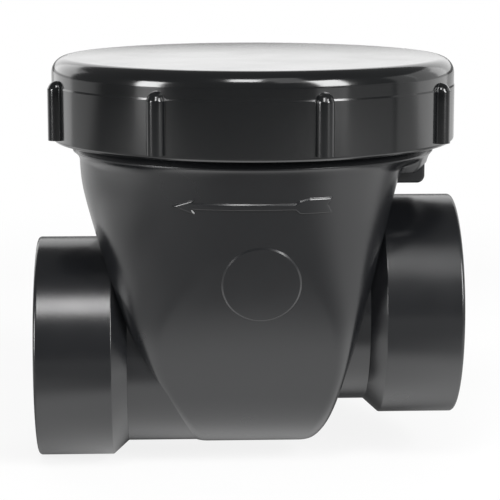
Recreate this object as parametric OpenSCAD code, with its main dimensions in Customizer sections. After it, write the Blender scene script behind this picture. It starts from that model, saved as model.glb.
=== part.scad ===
/* [Pipe sockets] */
// Outside diameter of the drain pipe that the sockets take
pipe_d = 88.9; // [80:0.1:96]
// Gap between the pipe and the socket's wall
pipe_gap = 0.15; // [0.05:0.05:0.4]
// Depth of a socket, from its mouth to the pipe stop
socket_depth = 31.75; // [26:0.25:32]
// Wall of a hub around its socket
hub_wall = 6.2; // [5:0.1:8]
// Straight length of a hub, from its mouth
hub_straight = 34.5; // [30:0.5:38]
// Length of the chamfer from a hub down to its neck
hub_chamfer = 7; // [5:0.5:10]
// Rounding of a hub's mouth edge
hub_round = 1.6; // [0.5:0.1:3]
// Outside diameter of the two necks
neck_d = 88.9; // [84:0.1:90]
// Wall of the two necks around the flow bore
neck_wall = 5.45; // [4.5:0.05:8]
// Length over both hubs, mouth to mouth
body_l = 192; // [186:0.5:210]
// Height of the inlet's axis above the outlet's axis
inlet_rise = 19; // [12:0.5:24]

/* [Chamber] */
// Distance from the outlet's mouth to the cap's axis
cap_x = 99.5; // [96:0.5:106]
// Wall of the chamber
wall = 5.5; // [4:0.1:6]
// Radius of the trough that forms the chamber's floor
trough_r = 45.2; // [44.8:0.1:48]
// Height of the chamber's top edge above the outlet's axis
chamber_top = 87.5; // [84:0.5:96]
// Distance of the round collar at the chamber's top inside the cap's skirt
collar_in = 12; // [10:0.5:14]
// Reach of the floor towards the outlet
floor_out = 26.7; // [22:0.1:30]
// Reach of the floor towards the inlet
floor_in = 26.2; // [24:0.1:30]
// Lean of the lower outlet wall, in degrees from upright
out_low_lean = 27.9; // [26:0.1:30]
// Lean of the upper outlet wall
out_high_lean = 19; // [17:0.1:21]
// Height at which the outlet wall turns upright
out_shoulder = 77; // [73:0.5:82]
// Reach of the chamber's top edge towards the inlet
top_in = 65.2; // [63:0.1:69]
// Lean of the upper inlet wall, and of the valve seat
in_high_lean = 14.75; // [12:0.25:17]
// Lean of the lower inlet wall
in_low_lean = 30.2; // [28:0.1:32]
// Softness of the bends in the walls
bend = 3; // [1:0.5:5]
// Radius of the chamber's corners at the floor
corner_r = 6; // [3:0.5:9]
// Share of the width that the inlet corners take up at the top
corner_in = 0.62; // [0.5:0.01:0.75]
// Share of the chamber's height at which the corners start to grow
corner_start = 0.25; // [0.2:0.05:0.5]
// Width of the lug under the collar, on the inlet side
lug_w = 44; // [30:1:60]
// Depth of the lug below the collar
lug_h = 9; // [6:0.5:14]
// Reach of the lug from the cap's axis
lug_reach = 77; // [73:0.5:80]
// Rounding of the lug's outer edge
lug_round = 3.5; // [1:0.5:5]

/* [Access neck] */
// Room for the screw thread between the access neck and the cap
thread_gap = 4.5; // [3.5:0.1:6]
// Wall of the access neck
access_wall = 8.5; // [6:0.5:9.5]
// Thickness of the neck's floor plate
neck_floor = 4; // [3:0.5:6]
// Height above the chamber at which the collar starts to flare
flare_rise = 3.5; // [2:0.5:4.5]
// Height of the flange's lower edge above the chamber
flange_rise = 6; // [5:0.5:7]
// Reach of the flange outside the collar
flange_out = 3.9; // [3:0.1:4.5]
// Depth of the collar's underside below the chamber's top, on the inlet side
collar_drop = 3; // [2:0.5:5]
// Distance that the collar draws in towards its underside
collar_tuck = 2.2; // [1:0.1:3]
// Height of the flange's upright edge
flange_t = 0.6; // [0.4:0.1:2]
// Height of the cone from the flange up to the neck's wall
neck_root = 4; // [2:0.5:6]

/* [Cap] */
// Radius of the cap's skirt
cap_r = 92; // [90.5:0.5:96]
// Wall of the cap's skirt
cap_wall = 7; // [5:0.5:7]
// Gap between the skirt's lower edge and the flange
cap_gap = 3.4; // [2:0.1:6]
// Height of the skirt, up to the flat of the cap's top
cap_h = 37.3; // [34:0.1:44]
// Thickness of the cap's top
cap_top_t = 5.2; // [4:0.1:7]
// Rounding of the cap's shoulder
shoulder_r = 7; // [4:0.5:10]
// Rise of the crowned top
crown = 0.5; // [0.3:0.1:3]
// Radius of the flat in the middle of the crowned top
crown_flat_r = 40; // [10:5:60]
// Small ledge around the skirt, near the tops of the ribs
ledge = 0.25; // [0.1:0.05:0.5]
// Height of the ledge above the middle of the ribs' round tops
ledge_rise = 0.5; // [0.3:0.1:2]
// Chamfer of the skirt's lower edge
skirt_chamfer = 1.2; // [0.5:0.1:2]
// Number of grip ribs
rib_count = 8; // [4:1:16]
// Radius of a half-round grip rib
rib_r = 4.05; // [3:0.05:6]
// Distance of a rib's centre outside the skirt
rib_out = 0.1; // [0:0.1:2]
// Height of a rib's foot above the skirt's lower edge
rib_foot = 1.8; // [0.5:0.1:3]
// Height of a rib, over its round top
rib_h = 26.5; // [20:0.1:28]
// Turn of the first rib from the inlet, in degrees
rib_turn = 16.5; // [0:0.5:45]
// Thickness of the cap's gasket
gasket_t = 3; // [2:0.5:4]
// Width of the cap's gasket
gasket_w = 7.6; // [5:0.1:8]
// Depth of the groove that holds the gasket
gasket_groove = 1; // [0.5:0.1:1.5]

/* [Valve seat and flapper] */
// Stand of the seat's face off the inlet wall
seat_stand = 6.5; // [6:0.5:8]
// Thickness of the seat ring
seat_t = 5; // [4:0.5:6]
// Thickness of the flapper's plate
flapper_t = 5; // [4:0.5:7]
// Margin between the edge of the seat and the edge of the seal
seal_margin = 0.45; // [0.3:0.05:1]
// Thickness of the rubber seal
seal_t = 3; // [2:0.5:4]
// Width of the seal that the retainer grips
seal_grip = 7; // [5:0.5:9]
// Thickness of the seal retainer
retainer_t = 2.5; // [2:0.5:3]
// Gap between the retainer and the flow bore
retainer_gap = 2.5; // [2:0.25:4]
// Depth that a retainer screw bites into the flapper
retainer_screw_bite = 3.75; // [2:0.25:4]
// Number of retainer screws
retainer_screw_count = 6; // [4:1:8]
// Height of the rim and ribs on the flapper's back
flapper_rib_h = 3; // [2:0.5:5]
// Width of the rim and ribs on the flapper's back
flapper_rib_w = 4; // [3:0.5:6]

/* [Hinge] */
// Diameter of the hinge pin
pin_d = 6; // [5:0.5:7]
// Height of the pin above the top of the seat ring
pin_rise = 7.5; // [7:0.5:9]
// Distance of the pin in front of the seat's face
pin_out = 7.2; // [7.2:0.1:9]
// Outside radius of the knuckles and ears around the pin
knuckle_r = 6.5; // [6:0.1:6.8]
// Width of one flapper knuckle
knuckle_w = 10; // [8:0.5:12]
// Distance of a knuckle's middle from the centre plane
knuckle_y = 13; // [12:0.5:15]
// Width of one bracket ear
ear_w = 6; // [5:0.5:8]
// Thickness of the bracket's plate
bracket_t = 3; // [2.5:0.5:3.5]
// Height of the bracket's plate above the pin
bracket_rise = 10.5; // [10:0.5:11.5]
// Diameter of a bracket screw's shank
bracket_screw_d = 5; // [4:0.5:5]
// Depth that a bracket screw bites into the chamber's wall
bracket_screw_bite = 3; // [2:0.1:3.4]
// Diameter of a retainer screw's shank
retainer_screw_d = 4; // [3:0.5:4]
// Thickness of a pin clip
clip_t = 1; // [0.8:0.1:1.5]
// Width of a pin clip's ring
clip_w = 2; // [1.5:0.1:3]

/* [Clearances] */
// Running clearance around the hinge pin
pin_gap = 0.05; // [0.02:0.01:0.1]
// Clearance around a screw's shank
screw_gap = 0.05; // [0.02:0.01:0.2]
// Clearance between the seal and the seat when shut
seal_gap = 0.2; // [0.1:0.05:0.3]
// Clearance around pieces that drop into a recess
seat_gap = 0.1; // [0.05:0.05:0.2]
// Side clearance between a knuckle, an ear and a clip
side_gap = 0.3; // [0.2:0.05:0.5]
// Clearance above, below and beside the cap's gasket
gasket_gap = 0.1; // [0.05:0.05:0.3]

/* [Hidden] */
$fn = 96;
// Length that passes right through any piece
through = 400;
// Run of a cut past the face that it opens
cut = 1;
abs_black = "#26282b";
rubber_black = "#17181a";
steel = "#b9bcbf";

socket_r = pipe_d / 2 + pipe_gap;
hub_r = socket_r + hub_wall;
hub_l = hub_straight + hub_chamfer;
neck_r = neck_d / 2;
bore_r = neck_r - neck_wall;

collar_r = cap_r - collar_in;
// Lean of the front and back walls: they run from the collar and touch the trough
side_lean = acos(trough_r / norm([collar_r, chamber_top])) - atan2(chamber_top, collar_r);
// Largest share of a side that a corner takes, just short of a full oval
corner_high = 0.995;
// Steps of the chamber's outlines: round one corner, up the trough and up the walls
corner_steps = 8;
trough_steps = 7;
wall_steps = 12;
// Half angle of the flat at the bottom of the trough
floor_angle = 8;

seat_r = neck_r;
seat_lean = in_high_lean;
seat_x = in_reach(inlet_rise) - wall - seat_stand;
seal_r = seat_r - seal_margin;
flapper_r = seal_r - seal_margin;
retainer_r = bore_r - retainer_gap;
seal_in_r = retainer_r - seal_grip;
seal_back = -seal_gap - seal_t;
flapper_back = seal_back - flapper_t;
retainer_front = -seal_gap + retainer_t;
retainer_screw_r = (retainer_r + seal_in_r) / 2;
retainer_screw_l = retainer_t + seal_t + retainer_screw_bite;
// Radius and height of a screw's head, as shares of the shank's diameter
head_r_share = 0.75;
head_h_share = 0.5;
// Reach of the flapper's arms and ribs from its middle, as shares of its radius
arm_low_share = 0.6;
rib_low_share = 0.88;
rib_high_share = 0.65;

pin_r = pin_d / 2;
pin_z = seat_r / cos(seat_lean) + pin_rise;
ear_y = knuckle_y + knuckle_w / 2 + side_gap;
pin_half = ear_y + ear_w + side_gap + clip_t + pin_r / 2;
clip_r = pin_r + clip_w;
bracket_face = seat_stand * cos(seat_lean) - bracket_t - seat_gap;
bracket_low = pin_z - knuckle_r / 2;
bracket_high = pin_z + bracket_rise;
bracket_half = ear_y + ear_w;
bracket_screw_z = pin_z + knuckle_r + seat_gap;
bracket_screw_y = knuckle_y - knuckle_w / 2;
bracket_screw_l = bracket_t + seat_gap + bracket_screw_bite;

cap_in_r = cap_r - cap_wall;
access_out_r = cap_in_r - thread_gap;
access_r = access_out_r - access_wall;
// The collar goes on at the walls' lean, then flares out to the flange
flare_r = collar_r + flare_rise * tan(side_lean);
flange_r = collar_r + flange_out;
flange_low = chamber_top + flange_rise;
flange_top = flange_low + flange_t;
cap_low = flange_top + cap_gap;
cap_top = cap_low + cap_h;
cap_under = cap_top - cap_top_t;
ledge_z = cap_low + rib_foot + rib_h - rib_r + ledge_rise;
gasket_low = cap_under + gasket_groove - gasket_gap - gasket_t;
access_top = gasket_low - gasket_gap;
gasket_in_r = access_r + (access_wall - gasket_w) / 2;
gasket_side_gap = 3 * gasket_gap;

// Lower of two lengths, with the bend between them softened
function soft_min(p, q) = (p + q - sqrt((p - q) * (p - q) + bend * bend)) / 2;
// Reach of the outlet wall from the cap's axis at a height
function out_reach(z) =
    let (low = floor_out + (z + trough_r) * tan(out_low_lean))
    let (high = collar_r - (out_shoulder - z) * tan(out_high_lean))
    soft_min(soft_min(low, high), collar_r);
// Reach of the inlet wall from the cap's axis at a height
function in_reach(z) =
    let (low = floor_in + (z + trough_r) * tan(in_low_lean))
    let (high = top_in - (chamber_top - z) * tan(in_high_lean))
    soft_min(low, high);
// Half the chamber's width at a height: a round trough of radius r below straight leaning walls
function half_width(z, r) =
    let (touch = -r * sin(side_lean))
    z < touch ? sqrt(max(r * r - z * z, 0)) : r * cos(side_lean) + (z - touch) * tan(side_lean);
// Reach of a corner along a side at a height: its radius at the floor, growing softly to a share of the side
function corner_size(z, side, top_share) =
    let (s = (z + trough_r) / (chamber_top + trough_r))
    let (t = min(max((s - corner_start) / (1 - corner_start), 0), 1))
    corner_r + (top_share * side - corner_r) * t * t * (3 - 2 * t);
// Outline of the chamber at a height, drawn in by inset: four sides with oval corners
function ring(z, inset) =
    let (b = half_width(z, trough_r - inset))
    [for (q = [0:3])
        let (sx = q == 0 || q == 3 ? 1 : -1, sy = q < 2 ? 1 : -1)
        let (full = sx > 0 ? in_reach(z) : out_reach(z), a = full - inset)
        let (ex = max(corner_size(z, full, corner_high) - inset, corner_r / 2))
        let (top_y = sx > 0 ? corner_in : corner_high)
        let (ey = max(corner_size(z, half_width(z, trough_r), top_y) - inset, corner_r / 2))
        for (i = [0:corner_steps])
            let (turn = 90 * (q % 2 == 0 ? i : corner_steps - i) / corner_steps)
            [cap_x + sx * (a - ex + ex * cos(turn)), sy * (b - min(ey, b) * (1 - sin(turn))), z]];
// Heights of the outlines: even turns up the trough, then even steps up the walls
function heights(inset, over) =
    let (r = trough_r - inset, touch = -r * sin(side_lean), last = 90 - side_lean)
    concat([for (i = [0:trough_steps - 1]) -r * cos(floor_angle + (last - floor_angle) * i / trough_steps)],
           [for (i = [0:wall_steps]) touch + (chamber_top + over - touch) * i / wall_steps]);

// Closed solid through the chamber's outlines, drawn in by inset and carried over the top edge
module chamber_form(inset, over) {
    zs = heights(inset, over);
    n = 4 * (corner_steps + 1);
    points = [for (z = zs) each ring(z, inset)];
    last = n * (len(zs) - 1);
    sides = [for (k = [0:len(zs) - 2], i = [0:n - 1])
        let (p = k * n + i, q = k * n + (i + 1) % n)
        each [[p, p + n, q], [q, p + n, q + n]]];
    polyhedron(points, concat([[for (i = [0:n - 1]) i]], sides, [[for (i = [n - 1:-1:0]) last + i]]));
}

// Round bar along X from one place to another, on an axis at height z
module bar_x(r, from, to, z) {
    translate([from, 0, z]) rotate([0, 90, 0]) cylinder(r = r, h = to - from);
}

// Frame of the valve seat: X into the inlet, Z up along the leaning seat
module at_seat() {
    translate([cap_x + seat_x, 0, inlet_rise]) rotate([0, seat_lean, 0]) children();
}

// Disc or ring that lies on the seat's frame, from one depth to another
module seat_disc(r, from, to) {
    translate([from, 0, 0]) rotate([0, 90, 0]) cylinder(r = r, h = to - from);
}

// Round bar across the valve, along Y
module bar_y(r, from, to) {
    translate([0, from, 0]) rotate([-90, 0, 0]) cylinder(r = r, h = to - from);
}

module at_pin() {
    translate([-pin_out, 0, pin_z]) children();
}

// Block in the seat's frame, given by two corners
module block(low, high) {
    translate(low) cube(high - low);
}

// Part of the seat's frame that lies further up the inlet than a depth
module upstream_of(depth) {
    at_seat() translate([depth, -through / 2, -through / 2]) cube(through);
}

module stop_lug() {
    low = chamber_top - lug_h;
    translate([0, lug_w / 2, 0]) rotate([90, 0, 0]) linear_extrude(lug_w) {
        difference() {
            translate([cap_x, low]) square([lug_reach, lug_h]);
            translate([cap_x + lug_reach - lug_round, low]) square(lug_round);
        }
        translate([cap_x + lug_reach - lug_round, low + lug_round]) circle(r = lug_round);
    }
}

module bracket_screw_places() {
    for (side = [-1, 1])
        translate([bracket_face, side * bracket_screw_y, bracket_screw_z]) rotate([0, 90, 0]) children();
}

module chamber_body() {
    color(abs_black) difference() {
        union() {
            difference() {
                union() {
                    chamber_form(0, 0);
                    bar_x(neck_r, hub_l, cap_x, 0);
                    stop_lug();
                    translate([cap_x, 0, chamber_top - collar_drop])
                        cylinder(r1 = collar_r - collar_tuck, r2 = collar_r, h = collar_drop);
                }
                chamber_form(wall, cut);
            }
            intersection() {
                bar_x(neck_r, cap_x, body_l, inlet_rise);
                upstream_of(seat_t);
                union() {
                    chamber_form(0, 0);
                    bar_x(hub_r, cap_x, body_l - hub_l, inlet_rise);
                }
            }
        }
        bar_x(bore_r, 0, cap_x, 0);
        bar_x(bore_r, cap_x, body_l, inlet_rise);
        bar_x(socket_r, 0, socket_depth, 0);
        bar_x(socket_r, body_l - socket_depth, body_l, inlet_rise);
        difference() {
            bar_x(seat_r + seat_gap, cap_x, body_l, inlet_rise);
            upstream_of(seat_t);
        }
        at_seat() bracket_pocket();
        at_seat() bracket_screw_places() cylinder(d = bracket_screw_d + 2 * screw_gap, h = bracket_screw_l);
    }
}

// Flat recess in the inlet wall that the hinge bracket's plate lies in
module bracket_pocket() {
    block([-pin_out, -bracket_half - seat_gap, bracket_low - seat_gap],
          [bracket_face + bracket_t + seat_gap, bracket_half + seat_gap, bracket_high + seat_gap]);
}

module access_neck() {
    color(abs_black) difference() {
        translate([cap_x, 0, 0]) rotate_extrude()
            polygon([[0, chamber_top], [collar_r, chamber_top], [flare_r, chamber_top + flare_rise],
                     [flange_r, flange_low], [flange_r, flange_top], [access_out_r, flange_top + neck_root],
                     [access_out_r, access_top], [access_r, access_top],
                     [access_r, chamber_top + neck_floor], [0, chamber_top + neck_floor]]);
        translate([0, 0, chamber_top - cut]) linear_extrude(neck_floor + 2 * cut)
            polygon([for (p = ring(chamber_top, wall)) [p.x, p.y]]);
    }
}

// One pipe hub with its mouth at the origin and its neck along +X
module hub() {
    rotate([0, 90, 0]) rotate_extrude() difference() {
        union() {
            polygon([[bore_r, hub_round], [hub_r, hub_round], [hub_r, hub_straight],
                     [neck_r, hub_l], [bore_r, hub_l]]);
            translate([bore_r, 0]) square([hub_r - hub_round - bore_r, hub_round]);
            translate([hub_r - hub_round, hub_round]) circle(r = hub_round);
        }
        translate([0, -cut]) square([socket_r, socket_depth + cut]);
    }
}

module outlet_hub() {
    color(abs_black) difference() {
        hub();
        chamber_form(0, 0);
    }
}

module inlet_hub() {
    color(abs_black) difference() {
        translate([body_l, 0, inlet_rise]) mirror([1, 0, 0]) hub();
        chamber_form(0, 0);
    }
}

module seat_ring() {
    color(abs_black) difference() {
        intersection() {
            bar_x(seat_r, cap_x, body_l, inlet_rise);
            at_seat() block([0, -through / 2, -through / 2], [seat_t, through / 2, through / 2]);
        }
        bar_x(bore_r, cap_x - cut, body_l + cut, inlet_rise);
    }
}

module hinge_bracket() {
    color(abs_black) at_seat() difference() {
        union() {
            block([bracket_face, -bracket_half, bracket_low],
                  [bracket_face + bracket_t, bracket_half, bracket_high]);
            for (side = [-1, 1]) {
                y = side > 0 ? ear_y : -bracket_half;
                at_pin() bar_y(knuckle_r, y, y + ear_w);
                block([-pin_out, y, pin_z - knuckle_r],
                      [bracket_face + bracket_t / 2, y + ear_w, pin_z + knuckle_r]);
            }
        }
        at_pin() bar_y(pin_r + pin_gap, -through / 2, through / 2);
        bracket_screw_places() translate([0, 0, -cut])
            cylinder(d = bracket_screw_d + 2 * screw_gap, h = bracket_t + 2 * cut);
    }
}

// Screw with its shank along +Z and its head below the origin
module screw(d, l) {
    cylinder(d = d, h = l - screw_gap);
    translate([0, 0, -d * head_h_share]) cylinder(r = d * head_r_share, h = d * head_h_share);
}

module bracket_screws() {
    color(steel) at_seat() bracket_screw_places() screw(bracket_screw_d, bracket_screw_l);
}

module hinge_pin() {
    color(steel) at_seat() at_pin() bar_y(pin_r, -pin_half, pin_half);
}

module pin_clips() {
    from = bracket_half + side_gap;
    color(steel) at_seat() at_pin() for (side = [-1, 1]) {
        y = side > 0 ? from : -from - clip_t;
        difference() {
            bar_y(clip_r, y, y + clip_t);
            bar_y(pin_r + pin_gap, y - cut, y + clip_t + cut);
        }
    }
}

module retainer_screw_places() {
    for (i = [0:retainer_screw_count - 1])
        rotate([(i + 0.5) * 360 / retainer_screw_count, 0, 0])
            translate([0, 0, retainer_screw_r]) rotate([0, -90, 0])
                translate([0, 0, -retainer_front]) children();
}

module retainer_screw_holes() {
    retainer_screw_places() cylinder(d = retainer_screw_d + 2 * screw_gap, h = retainer_screw_l);
}

module flapper() {
    rib_back = flapper_back - flapper_rib_h;
    color(abs_black) at_seat() difference() {
        union() {
            seat_disc(flapper_r, flapper_back, seal_back);
            seat_disc(seal_in_r - side_gap, flapper_back, -seal_gap);
            difference() {
                seat_disc(flapper_r, rib_back, flapper_back);
                seat_disc(flapper_r - flapper_rib_w, rib_back - cut, flapper_back);
            }
            for (side = [-1, 1]) {
                y = side * knuckle_y - knuckle_w / 2;
                at_pin() bar_y(knuckle_r, y, y + knuckle_w);
                block([rib_back, y, flapper_r * arm_low_share], [seal_back, y + knuckle_w, pin_z]);
                block([rib_back, side * knuckle_y - flapper_rib_w / 2, -flapper_r * rib_low_share],
                      [flapper_back + cut, side * knuckle_y + flapper_rib_w / 2, flapper_r * rib_high_share]);
            }
        }
        at_pin() bar_y(pin_r + pin_gap, -through / 2, through / 2);
        retainer_screw_holes();
    }
}

module flapper_seal() {
    color(rubber_black) at_seat() difference() {
        seat_disc(seal_r, seal_back, -seal_gap);
        seat_disc(seal_in_r, seal_back - cut, cut);
        retainer_screw_holes();
    }
}

module seal_retainer() {
    color(abs_black) at_seat() difference() {
        seat_disc(retainer_r, -seal_gap, retainer_front);
        retainer_screw_holes();
    }
}

module retainer_screws() {
    color(steel) at_seat() retainer_screw_places() screw(retainer_screw_d, retainer_screw_l);
}

module cap_gasket() {
    color(rubber_black) translate([cap_x, 0, gasket_low]) difference() {
        cylinder(r = gasket_in_r + gasket_w, h = gasket_t);
        translate([0, 0, -cut]) cylinder(r = gasket_in_r, h = gasket_t + 2 * cut);
    }
}

// Half section of the cap: straight skirt, round shoulder and crowned top, hollow below
module cap_section() {
    top_r = cap_r - ledge;
    flat_r = top_r - shoulder_r;
    difference() {
        union() {
            polygon([[0, cap_low], [cap_r - skirt_chamfer, cap_low], [cap_r, cap_low + skirt_chamfer],
                     [cap_r, ledge_z], [0, ledge_z]]);
            translate([0, ledge_z - cut]) square([top_r, cap_top - shoulder_r - ledge_z + cut]);
            polygon([[0, ledge_z], [flat_r, ledge_z], [flat_r, cap_top],
                     [crown_flat_r, cap_top + crown], [0, cap_top + crown]]);
            intersection() {
                translate([flat_r, cap_top - shoulder_r]) circle(r = shoulder_r);
                translate([flat_r - cut, cap_top - shoulder_r - cut]) square(shoulder_r + 2 * cut);
            }
        }
        translate([0, cap_low - cut]) square([cap_in_r, cap_under - cap_low + cut]);
        translate([gasket_in_r - gasket_side_gap, cap_under - cut])
            square([gasket_w + 2 * gasket_side_gap, gasket_groove + cut]);
    }
}

// Half-round grip rib with a round top
module grip_rib() {
    cylinder(r = rib_r, h = rib_h - rib_r);
    translate([0, 0, rib_h - rib_r]) rotate([0, -45, 0]) sphere(r = rib_r);
}

module screw_cap() {
    color(abs_black) translate([cap_x, 0, 0]) {
        rotate_extrude() cap_section();
        for (i = [0:rib_count - 1])
            rotate([0, 0, rib_turn + i * 360 / rib_count])
                translate([cap_r + rib_out, 0, cap_low + rib_foot]) grip_rib();
    }
}

chamber_body();
access_neck();
outlet_hub();
inlet_hub();
seat_ring();
hinge_bracket();
bracket_screws();
hinge_pin();
pin_clips();
flapper();
flapper_seal();
seal_retainer();
retainer_screws();
cap_gasket();
screw_cap();
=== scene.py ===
import math

import bpy
import numpy as np
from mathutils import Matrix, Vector


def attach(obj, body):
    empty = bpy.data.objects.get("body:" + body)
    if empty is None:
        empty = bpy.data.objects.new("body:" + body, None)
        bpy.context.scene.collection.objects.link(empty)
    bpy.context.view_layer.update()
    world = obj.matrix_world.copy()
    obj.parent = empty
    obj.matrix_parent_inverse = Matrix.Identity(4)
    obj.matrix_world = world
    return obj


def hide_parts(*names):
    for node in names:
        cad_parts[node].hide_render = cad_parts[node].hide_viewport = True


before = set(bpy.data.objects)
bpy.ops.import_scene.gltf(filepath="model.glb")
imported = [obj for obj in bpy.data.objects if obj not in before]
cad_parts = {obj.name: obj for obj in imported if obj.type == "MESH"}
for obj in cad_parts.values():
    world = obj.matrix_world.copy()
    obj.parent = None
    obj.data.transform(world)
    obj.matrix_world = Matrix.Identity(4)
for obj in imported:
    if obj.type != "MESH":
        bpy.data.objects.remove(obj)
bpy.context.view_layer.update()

# Chamber: the moulded middle of the valve, black ABS about 5.5 mm thick. It runs from a round collar under
# the cap down to a round trough in line with the outlet, and the outlet neck and inlet throat are moulded
# with it. Lengths are in mm, with X from the outlet's mouth and Z from the outlet's axis.
MM = 0.001
CAP_X = 99.5
WALL = 5.5
TROUGH_R = 45.2
CHAMBER_TOP = 87.5
COLLAR_R = 80.0
FLOOR_OUT, FLOOR_IN = 26.7, 26.2
OUT_LOW_LEAN, OUT_HIGH_LEAN, OUT_SHOULDER = math.radians(27.9), math.radians(19.0), 77.0
TOP_IN, IN_HIGH_LEAN, IN_LOW_LEAN = 65.2, math.radians(14.75), math.radians(30.2)
BEND = 3.0
CORNER_R, CORNER_HIGH, CORNER_IN, CORNER_START = 6.0, 0.995, 0.62, 0.25
SIDE_LEAN = math.acos(TROUGH_R / math.hypot(COLLAR_R, CHAMBER_TOP)) - math.atan2(CHAMBER_TOP, COLLAR_R)
BODY_L, INLET_RISE = 192.0, 19.0
NECK_R, BORE_R, HUB_L = 44.45, 39.0, 41.5
SEAT_STAND, SEAT_T, PIN_RISE = 6.5, 5.0, 7.5
# Share of a quarter of the outline that each straight side takes up
STRAIGHT = 0.2
# Surfaces that meet run this far into each other, so that no crack shows where they cross
OVERRUN = 0.3
# Keeps a division off zero
TINY = 1e-6
# Points round an outline, along a tube, and up the trough and the wall above it
ROUND_STEPS, TUBE_STEPS, TROUGH_STEPS, WALL_STEPS = 241, 60, 40, 110


def smooth(t):
    """Smooth step from 0 to 1: t, cut to that range, squared and times 3 - 2t."""
    t = np.clip(t, 0, 1)
    return t * t * (3 - 2 * t)


def soft_min(p, q):
    """Lower of two lengths with a softened bend: half of p + q less the root of (p - q) squared plus BEND
    squared."""
    return (p + q - np.sqrt((p - q) ** 2 + BEND ** 2)) / 2


def out_reach(z):
    """Reach of the outlet wall from the cap's axis at height z: two leaning lines and an upright one,
    softly joined."""
    low = FLOOR_OUT + (z + TROUGH_R) * math.tan(OUT_LOW_LEAN)
    high = COLLAR_R - (OUT_SHOULDER - z) * math.tan(OUT_HIGH_LEAN)
    return soft_min(soft_min(low, high), COLLAR_R)


def in_reach(z):
    """Reach of the inlet wall from the cap's axis at height z: two leaning lines, softly joined."""
    low = FLOOR_IN + (z + TROUGH_R) * math.tan(IN_LOW_LEAN)
    high = TOP_IN - (CHAMBER_TOP - z) * math.tan(IN_HIGH_LEAN)
    return soft_min(low, high)


def half_width(z, r):
    """Half the chamber's width: a circle of radius r below the touching point, a straight leaning wall
    above it."""
    touch = -r * math.sin(SIDE_LEAN)
    wall = r * math.cos(SIDE_LEAN) + (z - touch) * math.tan(SIDE_LEAN)
    return np.where(z < touch, np.sqrt(np.maximum(r * r - z * z, 0)), wall)


def outline_sizes(z, out_side, inset):
    """(a, b, ex, ey) at height z: reach, half width and the two half axes of the oval corner, drawn in by
    inset."""
    grown = smooth(((z + TROUGH_R) / (CHAMBER_TOP + TROUGH_R) - CORNER_START) / (1 - CORNER_START))
    long = np.where(out_side, out_reach(z), in_reach(z))
    wide = half_width(z, TROUGH_R)
    b = half_width(z, TROUGH_R - inset)
    ex = CORNER_R + (CORNER_HIGH * long - CORNER_R) * grown
    ey = CORNER_R + (np.where(out_side, CORNER_HIGH, CORNER_IN) * wide - CORNER_R) * grown
    ex, ey = np.maximum(ex - inset, CORNER_R / 2), np.minimum(np.maximum(ey - inset, CORNER_R / 2), b)
    return long - inset, b, ex, ey


def outline(z, turn, inset):
    """Points of the chamber's outline at height z, one for each turn from 0 to 4 quarters: straight for the
    first and last fifth of a quarter, and between them an oval corner at the angle that the turn gives."""
    quarter = np.floor(turn) % 4
    w = turn - np.floor(turn)
    w = np.where(quarter % 2 == 0, w, 1 - w)
    sx = np.where((quarter == 0) | (quarter == 3), 1.0, -1.0)
    sy = np.where(quarter < 2, 1.0, -1.0)
    a, b, ex, ey = outline_sizes(z, sx < 0, inset)
    angle = np.clip((w - STRAIGHT) / (1 - 2 * STRAIGHT), 0, 1) * math.pi / 2
    x = (a - ex) * np.clip((1 - w) / STRAIGHT, 0, 1) + ex * np.cos(angle)
    y = (b - ey) * np.clip(w / STRAIGHT, 0, 1) + ey * np.sin(angle)
    return np.stack([CAP_X + sx * x, sy * y, z + 0 * x], -1)


def beyond(p, inset):
    """How far points p lie outside the chamber's outline at their height: past a straight side, or past the
    oval."""
    x, y, z = p[:, 0] - CAP_X, np.abs(p[:, 1]), p[:, 2]
    a, b, ex, ey = outline_sizes(z, x < 0, inset)
    dx, dy = np.abs(x) - (a - ex), y - (b - ey)
    safe_x, safe_y = np.maximum(ex, TINY), np.maximum(ey, TINY)
    oval = (np.hypot(dx / safe_x, dy / safe_y) - 1) * np.minimum(safe_x, safe_y)
    return np.where((dx > 0) & (dy > 0), oval, np.maximum(np.abs(x) - a, y - b))


def outside_wall(p):
    """Above zero outside the chamber's wall, or less than the overrun inside it."""
    return beyond(p, 0) + OVERRUN


def grid(points, flip=False):
    """Surface of a grid of points, rows by columns: two triangles for each cell, turned over where flip is
    set."""
    rows, columns = points.shape[:2]
    i = np.arange(rows * columns).reshape(rows, columns)
    a, b, c, d = (q.ravel() for q in (i[:-1, :-1], i[:-1, 1:], i[1:, 1:], i[1:, :-1]))
    faces = np.concatenate([np.stack([a, b, c], 1), np.stack([a, c, d], 1)])
    return points.reshape(-1, 3), faces[:, ::-1] if flip else faces


def trimmed(surface, keep):
    """Part of a surface where the field keep(points) is above zero. A triangle across the line is cut on
    it, at the point of each edge where the field, taken as straight along the edge, is zero."""
    points, faces = surface
    field = keep(points)
    inside = field[faces] > 0
    count = inside.sum(1)
    crossed = (count == 1) | (count == 2)
    alone = count[crossed] == 1
    odd = np.where(alone, inside[crossed].argmax(1), inside[crossed].argmin(1))
    cut = np.take_along_axis(faces[crossed], (odd[:, None] + np.arange(3)) % 3, 1)
    ends = np.sort(np.stack([cut[:, [0, 1]], cut[:, [0, 2]]], 1), 2).reshape(-1, 2)
    edge, index = np.unique(ends, axis=0, return_inverse=True)
    p, q = edge.T
    share = (field[p] / (field[p] - field[q]))[:, None]
    crossing = points[p] + share * (points[q] - points[p])
    ab, ac = (len(points) + index.reshape(-1, 2)).T
    a, b, c = cut.T
    faces = np.concatenate([faces[count == 3], np.stack([a, ab, ac], 1)[alone],
                            np.stack([ab, b, c], 1)[~alone], np.stack([ab, c, ac], 1)[~alone]])
    return np.concatenate([points, crossing]), faces


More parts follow.
